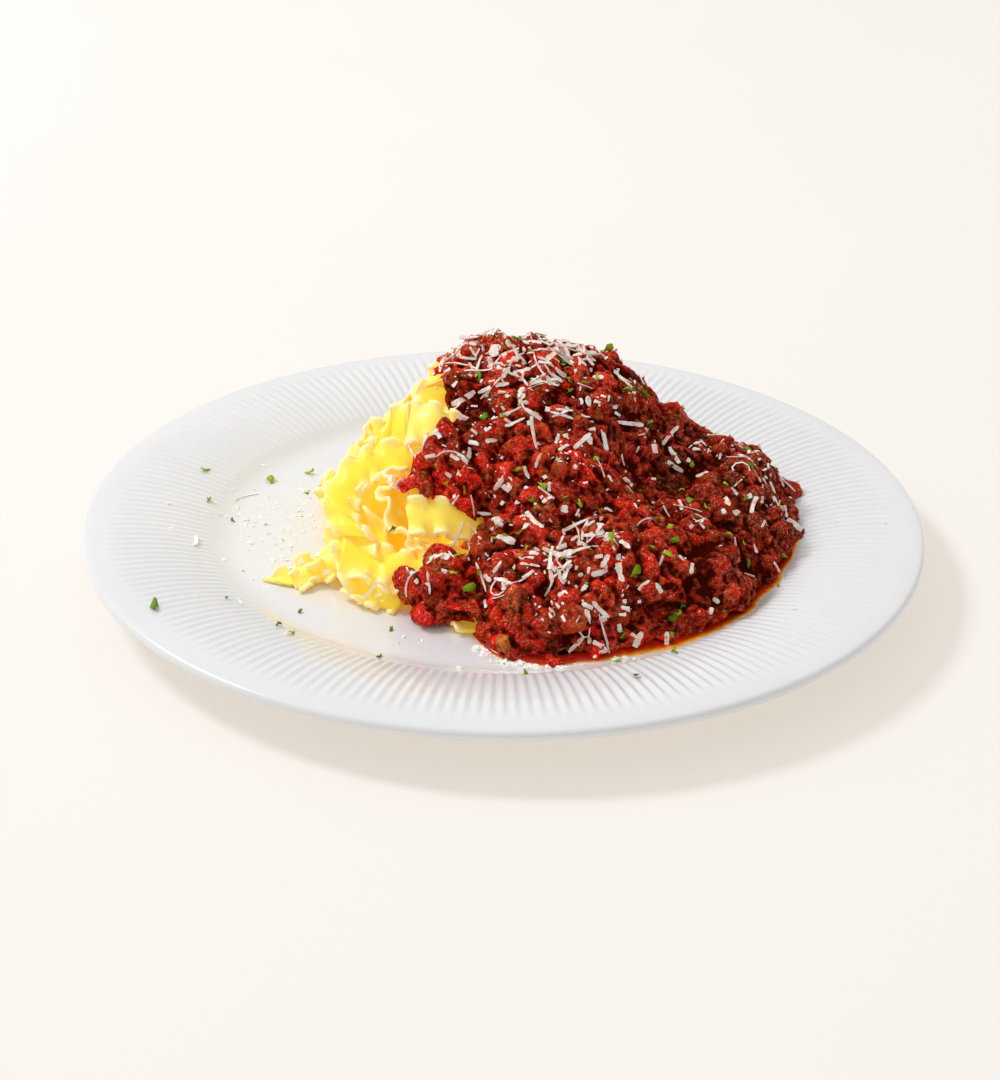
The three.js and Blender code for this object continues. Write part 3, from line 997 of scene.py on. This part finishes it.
def curve_through(stops, count):
    """Points spread over a smooth curve through the stops."""
    stops = np.asarray(stops, float)
    ends = np.vstack([2 * stops[0] - stops[1], stops, 2 * stops[-1] - stops[-2]])
    place = np.linspace(0, len(stops) - 1, count)
    n = np.minimum(place.astype(int), len(stops) - 2)
    t = (place - n)[:, None]
    p0, p1, p2, p3 = (ends[n + k] for k in range(4))
    bend, twist = 2 * p0 - 5 * p1 + 4 * p2 - p3, 3 * (p1 - p2) + p3 - p0
    return 0.5 * (2 * p1 + (p2 - p0) * t + bend * t**2 + twist * t**3)


def even_steps(path, step):
    """The path with its points moved to even steps along it, and the distance of each from its start."""
    length = np.concatenate([[0], np.cumsum(np.linalg.norm(np.diff(path[:, :3], axis=0), axis=1))])
    steps = np.linspace(0, length[-1], int(length[-1] / step) + 2)
    return np.stack([np.interp(steps, length, column) for column in path.T], 1), steps


def grid_normals(grid):
    """The normals of a sheet that is given as rows of points."""
    along, across = np.gradient(grid, axis=0), np.gradient(grid, axis=1)
    return unit(np.cross(along, across))


def slow_noise(rng, steps, pitch):
    """Smooth random numbers along a line, one draw or so to each pitch."""
    waves = 0
    for stretch in (1.1, 1.7, 2.6):
        waves = waves + rng.normal() * np.sin(TURN * steps / (pitch * stretch) + rng.uniform(0, TURN))
    return waves / 1.3


def ruffled_ribbon(rng, middle, across, steps, bow, width, tone):
    """Points, faces and paint of one ribbon: flat along its middle, and at both edges wavy, with waves
    that are rounder than a sine."""
    half = RIBBON_THICKNESS / 2
    v = np.sin(np.linspace(-1, 1, RIBBON_COLUMNS) * math.pi / 2)
    flat = middle[:, None] + across[:, None] * (v[None, :, None] * width / 2)
    facing, ahead = grid_normals(flat), unit(np.gradient(middle, axis=0))
    pitch = RUFFLE_PITCH * rng.uniform(0.9, 1.15)
    turn = TURN * steps / pitch + 0.7 * slow_noise(rng, steps, 20)
    turns = np.where(v < 0, *[(turn + phase)[:, None] for phase in rng.uniform(0, TURN, 2)])
    swell = 1 + 0.25 * slow_noise(rng, steps, 17)[:, None]
    share = np.abs(v) ** 2.8 * swell
    lift = RUFFLE_DEPTH * share * np.sin(turns) + bow * (1 - v**2)
    shift = -RUFFLE_ROUNDNESS * pitch * share * np.sin(2 * turns)
    sheet = flat + facing * lift[..., None] + ahead[:, None] * shift[..., None]
    sheet[..., 2] = np.maximum(sheet[..., 2], bed_height(sheet) + half + 0.1)
    normal = grid_normals(sheet)
    outward = unit(sheet[:, [0, -1]] - sheet[:, [1, -2]])
    rims = sheet[:, [0, -1]] + outward * half
    top, under = sheet + normal * half, sheet - normal * half
    loop = np.concatenate([rims[:, :1], top, rims[:, 1:], under[:, ::-1]], axis=1)
    values = np.zeros((len(loop), loop.shape[1], 3))
    values[..., 0] = np.abs(np.concatenate([[1], v, [1], v])) ** 4
    values[..., 1] = tone
    return loop.reshape(-1, 3), tube_faces(len(loop), loop.shape[1]), values.reshape(-1, 3)


def placed_ribbon(rng, edge, body, bow, width=RIBBON_WIDTH, tone=0.2):
    """A ribbon that follows a given edge."""
    line, steps = even_steps(curve_through(edge, 60 * len(edge)), RIBBON_STEP)
    turns = np.linspace(0, steps[-1], len(body))
    across = unit(np.stack([np.interp(steps, turns, part) for part in np.array(body).T], 1))
    return ruffled_ribbon(rng, line + across * width / 2, -across, steps, bow, width, tone)


def strand_walk(rng, solid, covered, start, facing):
    """A strand's middle line that wanders over the heap, and the heap's outward direction along it."""
    heading = unit(np.cross(facing, rng.normal(size=3)))
    place, path = start, []
    curl = rng.normal() * 0.12
    for _ in range(int(rng.uniform(*STRAND_LENGTH) / WALK_STEP)):
        skin, outward = solid.nearest(place)
        path.append(np.concatenate([skin, outward]))
        curl = 0.8 * curl + rng.normal() * 0.08
        sideways = np.cross(outward, heading)
        heading = unit(heading + sideways * curl - outward * (heading @ outward))
        place = skin + heading * WALK_STEP
        if covered(place):
            break
    return np.array(path)


def wandering_ribbon(rng, walk):
    """A ribbon along a walk: it leans over one way and the other, and the more it stands on its edge,
    the deeper its middle lies."""
    path, steps = even_steps(walk, RIBBON_STEP)
    path = smoothed(path, 4)
    outward, ahead = unit(path[:, 3:]), unit(np.gradient(path[:, :3], axis=0))
    lean = rng.uniform(-0.9, 0.9) + 0.4 * slow_noise(rng, steps, 25)
    side = np.cross(outward, ahead)
    across = unit(side * np.cos(lean)[:, None] + outward * np.sin(lean)[:, None])
    middle = path[:, :3] - outward * (1.6 + RIBBON_WIDTH * 0.45 * np.abs(np.sin(lean)))[:, None]
    width = RIBBON_WIDTH * rng.uniform(0.94, 1.05)
    return ruffled_ribbon(rng, middle, across, steps, rng.uniform(-1, 1), width, rng.random() ** 1.5)


def smoothed(path, rounds):
    """The path with its bends softened as many times as rounds says, and its ends kept."""
    for _ in range(rounds):
        path[1:-1] = (path[:-2] + 2 * path[1:-1] + path[2:]) / 4
    return path


def add_strands(rng, ribbons, sauce):
    """Adds ribbons that wander over the heap wherever sauce and placed ribbons leave it bare."""
    solid = packed("mafaldine")

    def covered(place):
        """Whether a place is under the sauce or among the placed ribbons."""
        above, _ = sauce.hit(place + np.array([0, 0, 80]), (0, 0, -1))
        under_sauce = above is not None and above[2] > place[2] - 2
        on_flank = FLANK_X[0] < place[0] < FLANK_X[1] and place[1] > FLANK_FRONT and place[2] < FLANK_TOP
        return under_sauce or not (place[1] > BACK_START or on_flank)

    starts, facings = solid.scatter(rng, STRAND_TRIES, lambda centres, normals: normals[:, 2] > -0.3)
    grown = []
    for start, facing in zip(starts, facings):
        crowded = any(np.linalg.norm(start - other) < STRAND_GAP for other in grown)
        if crowded or len(grown) == STRANDS or covered(start):
            continue
        walk = strand_walk(rng, solid, covered, start, facing)
        if len(walk) > LEAST_STEPS:
            ribbons.add(*wandering_ribbon(rng, walk))
            grown.append(start)


def make_pasta(rng, sauce):
    """The heap of ribbons and its core."""
    ribbons = MeshParts()
    for ribbon in FRONT_RIBBONS.values():
        ribbons.add(*placed_ribbon(rng, **ribbon))
    add_strands(rng, ribbons, sauce)
    for ribbon in SIDE_RIBBONS.values():
        ribbons.add(*placed_ribbon(rng, **ribbon))
    piece = ribbons.piece("mafaldine_ribbons", "dough")
    material = pasta_material()
    dress(piece, "mafaldine", material)
    make_core(material)
    return piece


def make_core(material):
    """The middle of the heap, seen only through gaps between the ribbons."""
    core = packed("mafaldine").remade("mafaldine_core", CORE_VOXEL)
    points, normals = points_of(core.data), normals_of(core.data)
    seat = np.array([*((points.min(axis=0) + points.max(axis=0)) / 2)[:2], FLOOR_HEIGHT + 0.3])
    points = seat + (points + normals * 1.5 * soft_noise(points, 9, 51)[:, None] - seat) * CORE_SHARE
    points[:, 2] = np.maximum(points[:, 2], seat[2])
    move_points(core.data, points)
    paint(core.data, "dough", np.zeros((len(points), 3)))
    dress(core, "mafaldine", material)


# ---- Oil ----

POOL_POINTS = 360
POOL_CENTRE = (22, -22)
POOL_ARC = (-128, 52)  # degrees round that centre, from the right towards the back
POOL_WIDTH = 6.0
POOL_CLEARANCE = 1.2  # the height over the plate at which the sauce's foot is found
FAR_OUT = 150  # from where the sauce's foot is looked for
BARE_REACH = 40.0  # how far out the pool's shore lies where there is no sauce
SHORE_ARC = (-116, -76)  # where cheese lies outside the pool's edge, in degrees as above
# The pool's section, from its bed round its top: millimetres inside the sauce's foot where that is below
# 0, or a share of the pool's width beyond it; then the height over the plate, and the depth as painted.
POOL_SECTION = (
    (-5, -0.4, 1.0), (1.03, -0.4, 0), (1, 0.06, 0), (0.75, 0.25, 0.1), (0.35, 0.5, 0.35), (0, 0.8, 0.8),
    (-2, 1.2, 1.0), (-5, 1.4, 1.0),
)


def foot_reach(sauce, middle, way):
    """How far the foot of the sauce reaches over the plate from the middle in one direction."""
    start, place = middle + way * FAR_OUT, middle
    for _ in range(2):  # the second time at the plate's height where the foot was found
        start[2] = bed_height(place) + POOL_CLEARANCE
        place, _ = sauce.hit(start, -way)
        if place is None:
            return BARE_REACH
    return float((place - middle) @ way)


def pool_shore(sauce, middle, ways):
    """How far out the pool starts in each direction: the sauce's foot, with its bays filled and its
    corners rounded."""
    shore = np.array([foot_reach(sauce, middle, way) for way in ways])
    for _ in range(6):
        shore[1:-1] = np.maximum(shore[1:-1], np.maximum(shore[:-2], shore[2:]) - 0.2)
    for _ in range(60):
        shore[1:-1] = (shore[:-2] + shore[1:-1] + shore[2:]) / 3
    return shore


def make_pool(sauce):
    """Thin oil and juice that has run out from under the sauce to the right and the front. Returns the
    stretch of its edge where cheese has fallen."""
    degrees = np.linspace(*POOL_ARC, POOL_POINTS)
    ways = ring(1, np.radians(degrees), 0)
    middle = np.array([*POOL_CENTRE, 0])
    wander = 0.75 + 0.45 * soft_noise(60 * ways, 20, 61) + 0.15 * soft_noise(60 * ways, 7, 62)
    ends = np.minimum(smooth_step(*POOL_ARC, degrees), smooth_step(*POOL_ARC[::-1], degrees))
    width = 0.1 + POOL_WIDTH * np.clip(wander, 0.3, 1.4) * np.clip(3 * ends, 0, 1)
    shore = pool_shore(sauce, middle, ways)
    rings, depths = [], []
    for reach, lift, depth in POOL_SECTION:
        points = middle + ways * (shore + (width * reach if reach > 0 else reach))[:, None]
        points[:, 2] = bed_height(points) + lift
        rings.append(points)
        depths.append(depth)
    faces = tube_faces(POOL_POINTS, len(rings))
    pool = mesh_object("sauce_oil", np.stack(rings, 1).reshape(-1, 3), faces)
    paint(pool.data, "depth", np.tile(depths, POOL_POINTS))
    dress(pool, "bolognese", pool_material())
    edge = (middle + ways * (shore + width + 0.8)[:, None])[:, :2]
    low, high = SHORE_ARC
    return edge[(degrees > low) & (degrees < high)]


# ---- Where toppings lie ----

DROP_REACH = 9.0  # how far over and under its place a shred looks for a surface
CLEAR = 0.8  # a place is free when what covers it is no further off than this


def on_top(centres, normals):
    """The upper side of the heap."""
    return (normals[:, 2] > 0.15) & (centres[:, 2] > 14)


def mostly_left(centres, normals):
    """The upper side, and little of it on the right."""
    return on_top(centres, normals) * (1 - 0.75 * smooth_step(25, 50, centres[:, 0]))


def crest(centres, normals):
    """Round the highest part of the heap."""
    return on_top(centres, normals) & (np.hypot(centres[:, 0] + 2, centres[:, 1] - 26) < 34)


def low_down(centres, normals):
    """The upper side, and most of it near the plate."""
    return on_top(centres, normals) * (0.05 + smooth_step(24, 14, centres[:, 2]))


def clustered(rng, surface, count, each, spread, keep):
    """Random places in loose clusters on a surface."""
    seeds, _ = surface.scatter(rng, max(count // each, 1), keep)
    places, normals = [], []
    while len(places) < count:
        seed = seeds[rng.integers(len(seeds))]
        place, normal = surface.nearest(seed + rng.normal(size=3) * spread)
        if normal[2] > -0.1:
            places.append(place)
            normals.append(normal)
    return np.array(places), np.array(normals)


def on_plate(flat):
    """Places on the plate's upper face and its normals there, from places on the level."""
    flat = flat[np.hypot(flat[:, 0], flat[:, 1]) < PLATE_RADIUS - 4]
    radius = np.hypot(flat[:, 0], flat[:, 1])
    slope = (plate_top(radius + 0.5) - plate_top(radius - 0.5))[:, None]
    normals = unit(np.column_stack([-flat / radius[:, None] * slope, np.ones(len(flat))]))
    return np.column_stack([flat, plate_top(radius)]), normals


def plate_places(rng, count, centre, spread):
    """Random places on the plate round a centre, and the normals there."""
    return on_plate(rng.normal(size=(count, 2)) * spread + centre)


def shore_places(rng, count, shore):
    """Random places on the plate in loose clusters along a shore, and the normals there."""
    seeds = shore[rng.integers(len(shore), size=count // 12)]
    flat = seeds[rng.integers(len(seeds), size=count)] + rng.normal(size=(count, 2)) * (2.4, 1.0)
    return on_plate(flat)


def together(*sets):
    """One set of places and normals from several."""
    return tuple(np.concatenate(parts) for parts in zip(*sets))


def not_covered(ground, places, facings):
    """The places and normals that can be seen from where they face."""
    found = [ground.hit(place + facing * 60, -facing)[0] for place, facing in zip(places, facings)]
    free = np.array([np.linalg.norm(first - place) < CLEAR for first, place in zip(found, places)])
    return places[free], facings[free]


def plate_grid():
    """A bare sheet in the shape of the plate's upper face, for toppings to land on."""
    angles = TURN * np.arange(90) / 90
    radii = np.linspace(1, PLATE_RADIUS - 1, 40)
    rings = [ring(radius, angles, plate_top(radius)) for radius in radii]
    return mesh_object("plate_grid", np.concatenate(rings), tube_faces(len(radii), len(angles))[:-2])


# ---- Cheese and parsley ----

SHREDS = 640
SHRED_LENGTH = (1.6, 11)
SHRED_WIDTH = (0.6, 2.4)
SHRED_THICKNESS = 0.3
SHRED_STATIONS = 8
THREAD_SHARE = 0.06  # of the shreds are long thin threads
THREAD_LENGTH = (9, 17)
THREAD_WIDTH = 0.55
LOOSE_SHREDS = 80  # on the pasta and the plate
SAUCE_CRUMBS = 620
PASTA_CRUMBS = 420
PLATE_CRUMBS = 360
SHORE_CRUMBS = 260  # outside the edge of the oil in front
HEAP_FLAKES = 170
PLATE_FLAKES = 44
FLAKE_CORNERS = 8
STAINED_ABOVE = 18  # crumbs higher than this lie in sauce


def tilted_axes(rng, facing, lean):
    """Three random axes at right angles, the last of which leans a little away from the facing."""
    upward = unit(facing + lean * rng.normal(size=3))
    first = unit(np.cross(upward, rng.normal(size=3)))
    return np.array([first, np.cross(upward, first), upward])


def drop_height(surface, point, facing):
    """How far along the facing direction the surface lies from the point."""
    place, _ = surface.hit(point + facing * DROP_REACH, -facing, 2 * DROP_REACH)
    return -2.0 if place is None else float((place - point) @ facing)


def laid_line(surface, start, facing, heading, length, curve, slack):
    """Points of a curved line laid over a surface, and the directions across it. A line with no slack
    lies as straight as the surface lets it, and one with a slack of 1 follows each dip."""
    facing = unit(facing + np.array([0, 0, 0.6]))
    heading = unit(heading - facing * (heading @ facing))
    side = np.cross(facing, heading)
    t = np.linspace(-0.5, 0.5, SHRED_STATIONS)
    step = length / (SHRED_STATIONS - 1)
    along = np.cumsum(np.cos(curve * t)) * step
    aside = np.cumsum(np.sin(curve * t)) * step
    flat = start + np.outer(along - along.mean(), heading) + np.outer(aside - aside.mean(), side)
    heights = np.array([drop_height(surface, point, facing) for point in flat])
    trend = np.polyval(np.polyfit(t, heights, 1), t)
    heights = trend + slack * (heights - trend) + 0.6 * (1 - slack) * (heights - trend).max()
    line = flat + np.outer(smoothed(heights, 1), facing)
    return line, unit(np.cross(facing, np.gradient(line, axis=0)))


def strip_rings(line, across, widths, thickness):
    """The four-cornered rings of a thin flat strip."""
    normal = unit(np.cross(np.gradient(line, axis=0), across))
    half = across * (widths / 2)[:, None]
    lift = normal * thickness / 2
    return np.stack([line + half + lift, line + half - lift, line - half - lift, line - half + lift], 1)


def strewn(rng, name, meshes, stains):
    """One piece of many small meshes, each with a random tone. A mesh is made when its turn comes."""
    parts = MeshParts()
    for (points, faces), stain in zip(meshes, stains):
        parts.add(points, faces, (rng.random(), stain, 0))
    return parts.piece(name, "tone")


def shred_form(rng):
    """Length, width, curve and slack of a short flat strip, or now and then of a long curled thread."""
    if rng.random() < THREAD_SHARE:
        return rng.uniform(*THREAD_LENGTH), THREAD_WIDTH, rng.normal() * 3.0, 0.7
    length = np.clip(rng.lognormal(math.log(4.2), 0.55), *SHRED_LENGTH)
    width = np.clip(rng.lognormal(math.log(1.25), 0.35), *SHRED_WIDTH)
    return length, width, rng.normal() * 0.3, 0.15


def shred_mesh(rng, ground, start, facing):
    """Points and faces of one shred: a bent strip that lies on the ground and tapers to its ends."""
    length, width, curve, slack = shred_form(rng)
    line, across = laid_line(ground, start, facing, rng.normal(size=3), length, curve, slack)
    line = line + unit(facing) * rng.uniform(0.1, 0.4)
    tilt = rng.normal() * 0.4 + rng.normal() * 0.25 * np.linspace(-1, 1, SHRED_STATIONS)[:, None]
    normal = np.cross(unit(np.gradient(line, axis=0)), across)
    across = across * np.cos(tilt) + normal * np.sin(tilt)
    widths = width * (1 + 0.14 * rng.normal(size=SHRED_STATIONS))
    widths[[0, -1]] *= rng.uniform(0.3, 0.9, 2)
    rings = strip_rings(line, across, widths, SHRED_THICKNESS * rng.uniform(0.7, 1.2))
    return rings.reshape(-1, 3), tube_faces(SHRED_STATIONS, 4)


def make_shreds(rng, ground, sauce, pasta):
    """Grated cheese in shreds: heaped on the sauce, where it is stained, and loose beside it."""
    starts, facings = together(
        clustered(rng, sauce, SHREDS * 5 // 8, each=4, spread=7.0, keep=mostly_left),
        clustered(rng, sauce, SHREDS * 3 // 8, each=4, spread=6.0, keep=crest),
        pasta.scatter(rng, LOOSE_SHREDS * 7 // 8, low_down),
        plate_places(rng, LOOSE_SHREDS // 8, centre=(-70, -10), spread=(26, 40)),
    )
    meshes = (shred_mesh(rng, ground, *seat) for seat in zip(starts, facings))
    piece = strewn(rng, "grated_cheese_shreds", meshes, np.arange(len(starts)) < SHREDS)
    piece.data.shade_flat()
    dress(piece, "bolognese", cheese_material("shredded_cheese", glow=0.03))


def crumb_mesh(rng, place, facing, size):
    """Points and faces of one cheese crumb: a small uneven block, lying flat."""
    corners = np.array([(x, y, z) for x in (-1, 1) for y in (-1, 1) for z in (-1, 1)])
    block = corners * (rng.uniform(0.6, 1.9), rng.uniform(0.35, 0.8), rng.uniform(0.1, 0.35))
    block += rng.normal(size=(8, 3)) * 0.15
    points = place + facing * size * 0.2 + block @ tilted_axes(rng, facing, 0.35) * size
    return points, [(0, 1, 3, 2), (4, 6, 7, 5), (0, 4, 5, 1), (2, 3, 7, 6), (0, 2, 6, 4), (1, 5, 7, 3)]


def make_crumbs(rng, ground, sauce, pasta, shore):
    """Grated cheese in crumbs: over the food, on the left of the plate, in front, and along the oil."""
    places, facings = not_covered(ground, *together(
        clustered(rng, sauce, SAUCE_CRUMBS, each=5, spread=4.0, keep=mostly_left),
        pasta.scatter(rng, PASTA_CRUMBS, low_down),
        plate_places(rng, PLATE_CRUMBS * 2 // 3, centre=(-78, 2), spread=(14, 22)),
        plate_places(rng, PLATE_CRUMBS // 3, centre=(0, -40), spread=(60, 35)),
        shore_places(rng, SHORE_CRUMBS, shore),
    ))
    in_sauce = places[:, 2] > STAINED_ABOVE
    sizes = np.clip(rng.lognormal(np.log(np.where(in_sauce, 0.5, 0.42)), 0.45), 0.2, 1.3)
    meshes = (crumb_mesh(rng, *seat) for seat in zip(places, facings, sizes))
    piece = strewn(rng, "grated_cheese_crumbs", meshes, in_sauce)
    piece.data.shade_flat()
    dress(piece, "bolognese", cheese_material("crumbled_cheese", glow=0.13))


def flake_mesh(rng, place, facing, size):
    """Points and faces of one flake of parsley: a thin crumpled bit of leaf."""
    first, second, upward = tilted_axes(rng, facing, 0.55)
    upper = np.arange(FLAKE_CORNERS)
    angles = TURN * upper / FLAKE_CORNERS
    reach = size / 2 * rng.uniform(0.55, 1.2, FLAKE_CORNERS)
    u = reach * np.cos(angles) * rng.uniform(1.0, 1.6)
    v = reach * np.sin(angles) * rng.uniform(0.5, 0.9)
    crumple = 0.18 * size * rng.normal(size=FLAKE_CORNERS) + rng.uniform(-0.25, 0.25) * u**2 / size
    rim = place + np.outer(u, first) + np.outer(v, second) + np.outer(crumple + 0.25 * size, upward)
    middle, half = rim.mean(axis=0), upward * 0.1
    points = np.concatenate([rim + half, rim - half, [middle + half, middle - half]])
    after, lower = (upper + 1) % FLAKE_CORNERS, upper + FLAKE_CORNERS
    top, bottom = np.full((2, FLAKE_CORNERS), [[2 * FLAKE_CORNERS], [2 * FLAKE_CORNERS + 1]])
    faces = [*zip(upper, after, top), *zip(after + FLAKE_CORNERS, lower, bottom)]
    return points, faces + [*zip(upper, lower, after + FLAKE_CORNERS, after)]


def make_flakes(rng, ground, sauce, pasta):
    """Chopped parsley over the food and round it."""
    places, facings = not_covered(ground, *together(
        sauce.scatter(rng, HEAP_FLAKES * 3 // 4, on_top),
        pasta.scatter(rng, HEAP_FLAKES // 4, on_top),
        plate_places(rng, PLATE_FLAKES, centre=(-20, -30), spread=(55, 45)),
    ))
    sizes = np.clip(rng.lognormal(math.log(2.6), 0.35, len(places)), 1.2, 5.0)
    meshes = (flake_mesh(rng, *seat) for seat in zip(places, facings, sizes))
    piece = strewn(rng, "parsley_flakes", meshes, np.zeros(len(places)))
    dress(piece, "bolognese", parsley_material())


def make_toppings(rng, sauce, pasta, shore):
    """Cheese and parsley, on whatever they land on."""
    grid = plate_grid()
    ground = Surface(sauce.data, pasta.data, grid.data)
    bpy.data.objects.remove(grid)
    skins = Surface(sauce.data), Surface(pasta.data)
    make_shreds(rng, ground, *skins)
    make_crumbs(rng, ground, *skins, shore)
    make_flakes(rng, ground, *skins)


# ---- Build ----

add_camera()
add_stage()
make_plate()
sauce = make_sauce(np.random.default_rng(7))
pasta = make_pasta(np.random.default_rng(8), packed("bolognese"))
shore = make_pool(Surface(sauce.data))
make_toppings(np.random.default_rng(9), sauce, pasta, shore)
